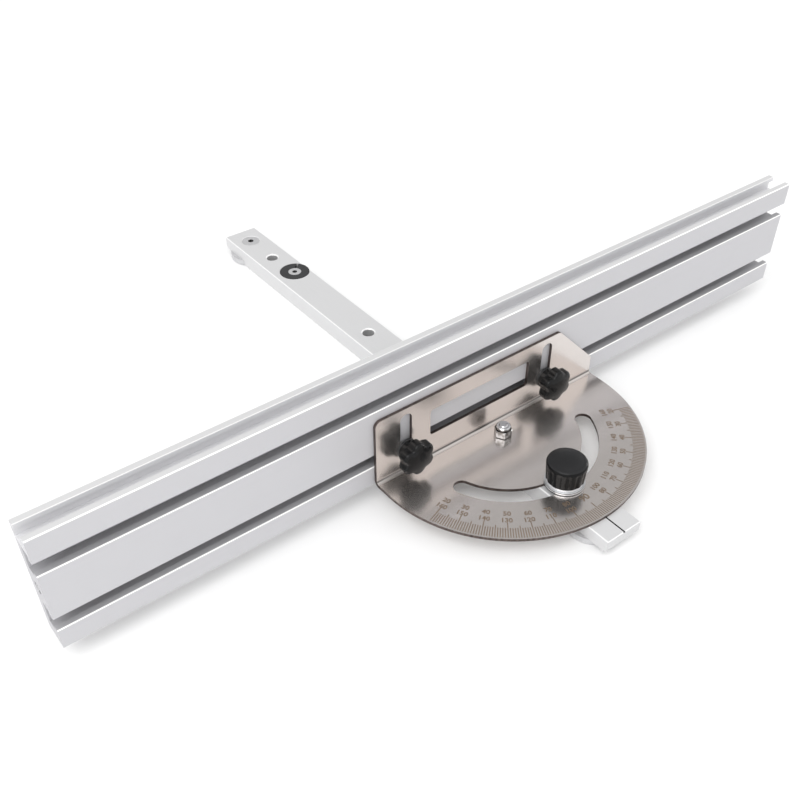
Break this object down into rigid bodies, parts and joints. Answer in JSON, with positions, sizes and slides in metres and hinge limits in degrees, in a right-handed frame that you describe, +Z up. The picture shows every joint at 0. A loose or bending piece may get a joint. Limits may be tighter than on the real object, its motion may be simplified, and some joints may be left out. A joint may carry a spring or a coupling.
{
  "type": "miter gauge",
  "caption": "Miter gauge: a flat guide bar with round track discs, a folded protractor plate with an arc slot and a lock knob, and a long slotted fence held by clamp knobs.",
  "frame": {"origin": "on the plate's swing axis, at the underside of the bar", "axes": "+X along the fence, to the user's right; +Y along the bar, away from the user; +Z up"},
  "size_m": [0.4, 0.3, 0.0653],
  "materials": {
    "bar_aluminium": "satin anodised",
    "fence_aluminium": "satin anodised",
    "stainless_plate": "satin",
    "zinc_steel": "bright",
    "black_nylon": "matte",
    "knob_plastic": "semi-gloss"
  },
  "bodies": {
    "bar": {"miter_bar": "bar_aluminium", "front_track_disc": "zinc_steel", "front_disc_screw": "zinc_steel", "front_split_disc": "black_nylon", "front_cone_screw": "zinc_steel", "rear_track_disc": "zinc_steel", "rear_disc_screw": "zinc_steel", "rear_split_disc": "black_nylon", "rear_cone_screw": "zinc_steel", "pivot_screw": "zinc_steel", "pivot_nut": "zinc_steel", "lock_screw": "zinc_steel"},
    "plate": {"protractor_plate": "stainless_plate"},
    "bolts": {"left_clamp_bolt": "zinc_steel", "right_clamp_bolt": "zinc_steel"},
    "fence": {"fence_extrusion": "fence_aluminium"},
    "lock_ring": {"lock_washer": "zinc_steel"},
    "lock_grip": {"lock_knob": "knob_plastic", "lock_knob_insert": "zinc_steel"},
    "left_ring": {"left_clamp_washer": "black_nylon"},
    "left_grip": {"left_clamp_knob": "knob_plastic", "left_knob_insert": "zinc_steel"},
    "right_ring": {"right_clamp_washer": "black_nylon"},
    "right_grip": {"right_clamp_knob": "knob_plastic", "right_knob_insert": "zinc_steel"}
  },
  "joints": [
    {"name": "plate_swing", "type": "hinge", "parent": "bar", "child": "plate", "pos_m": [0, 0, 0.0105], "axis": [0, 0, 1], "range_deg": [-68, 68]},
    {"name": "fence_height", "type": "slide", "parent": "plate", "child": "bolts", "axis": [0, 0, 1], "range_m": [0, 0.0152]},
    {"name": "fence_slide", "type": "slide", "parent": "bolts", "child": "fence", "axis": [1, 0, 0], "range_m": [-0.15, 0.14]},
    {"name": "lock_lift", "type": "slide", "parent": "bar", "child": "lock_ring", "axis": [0, 0, 1], "range_m": [0, 0.001]},
    {"name": "lock_turn", "type": "hinge", "parent": "lock_ring", "child": "lock_grip", "pos_m": [0, -0.0386, 0.018], "axis": [0, 0, 1], "range_deg": [0, 360]},
    {"name": "left_lift", "type": "slide", "parent": "bolts", "child": "left_ring", "axis": [0, -1, 0], "range_m": [0, 0.0008]},
    {"name": "left_turn", "type": "hinge", "parent": "left_ring", "child": "left_grip", "pos_m": [-0.0475, 0.002, 0.0227], "axis": [0, -1, 0], "range_deg": [0, 360]},
    {"name": "right_lift", "type": "slide", "parent": "bolts", "child": "right_ring", "axis": [0, -1, 0], "range_m": [0, 0.0008]},
    {"name": "right_turn", "type": "hinge", "parent": "right_ring", "child": "right_grip", "pos_m": [0.032, 0.002, 0.0227], "axis": [0, -1, 0], "range_deg": [0, 360]}
  ],
  "couplings": [
    {"joint": "lock_turn", "follows": "lock_lift", "rad_per_m": 6283.2},
    {"joint": "left_turn", "follows": "left_lift", "rad_per_m": 7854},
    {"joint": "right_turn", "follows": "right_lift", "rad_per_m": 7854}
  ]
}
